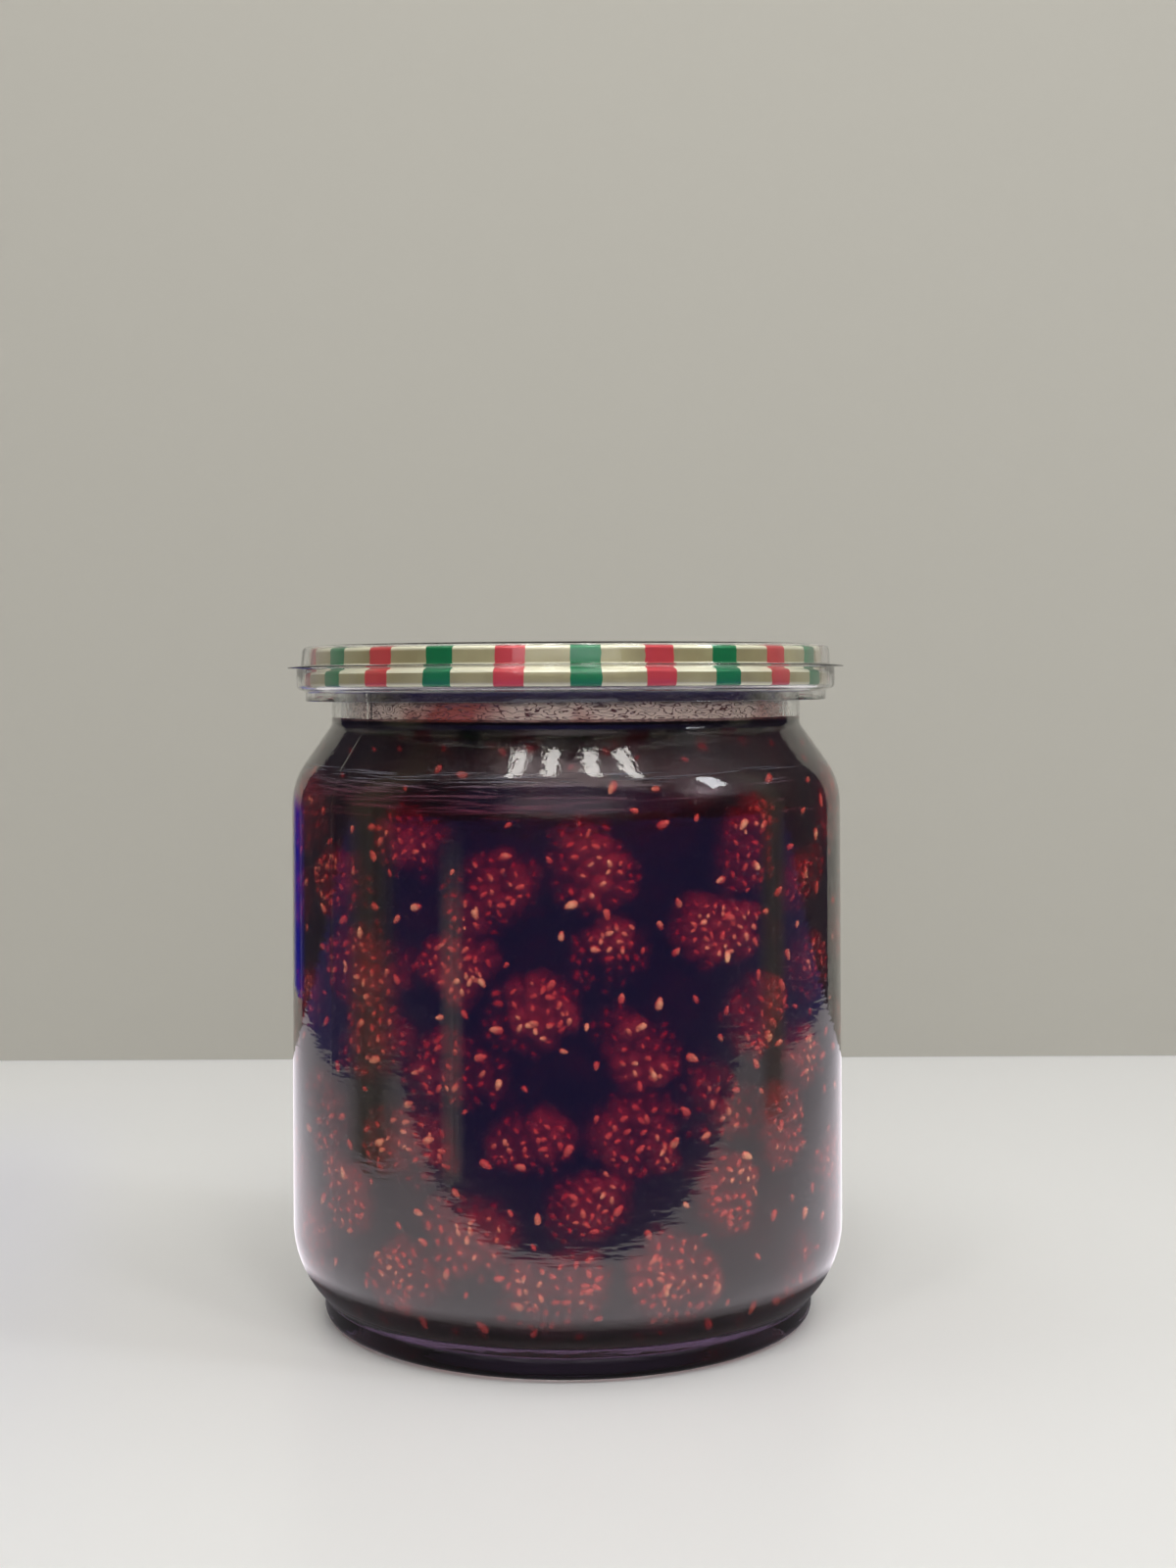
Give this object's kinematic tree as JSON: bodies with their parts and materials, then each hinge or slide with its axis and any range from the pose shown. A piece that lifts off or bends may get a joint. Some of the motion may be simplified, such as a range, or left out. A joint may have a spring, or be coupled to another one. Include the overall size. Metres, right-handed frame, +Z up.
{
  "type": "filled jam jar",
  "caption": "Round clear glass preserving jar filled with dark berry jam, closed by a crimped tin lid with coloured stripes under a clear push-fit plastic cap.",
  "frame": {"origin": "middle of the ring that the jar stands on", "axes": "+Z up along the jar's axis, from the base to the lid; the side shown faces -Y"},
  "size_m": [0.0908, 0.0908, 0.1079],
  "materials": {
    "jar_glass": "clear pressed glass, smooth and glossy",
    "berry_jam": "dark violet-red jelly with whole berries and seeds",
    "lacquered_tin": "pale gold lacquer with printed green and red stripes, glossy",
    "clear_plastic": "thin clear moulded plastic, glossy"
  },
  "bodies": {
    "root": {"jar": "jar_glass", "jam": "berry_jam", "tin_lid": "lacquered_tin", "clear_cap": "clear_plastic"}
  },
  "joints": []
}
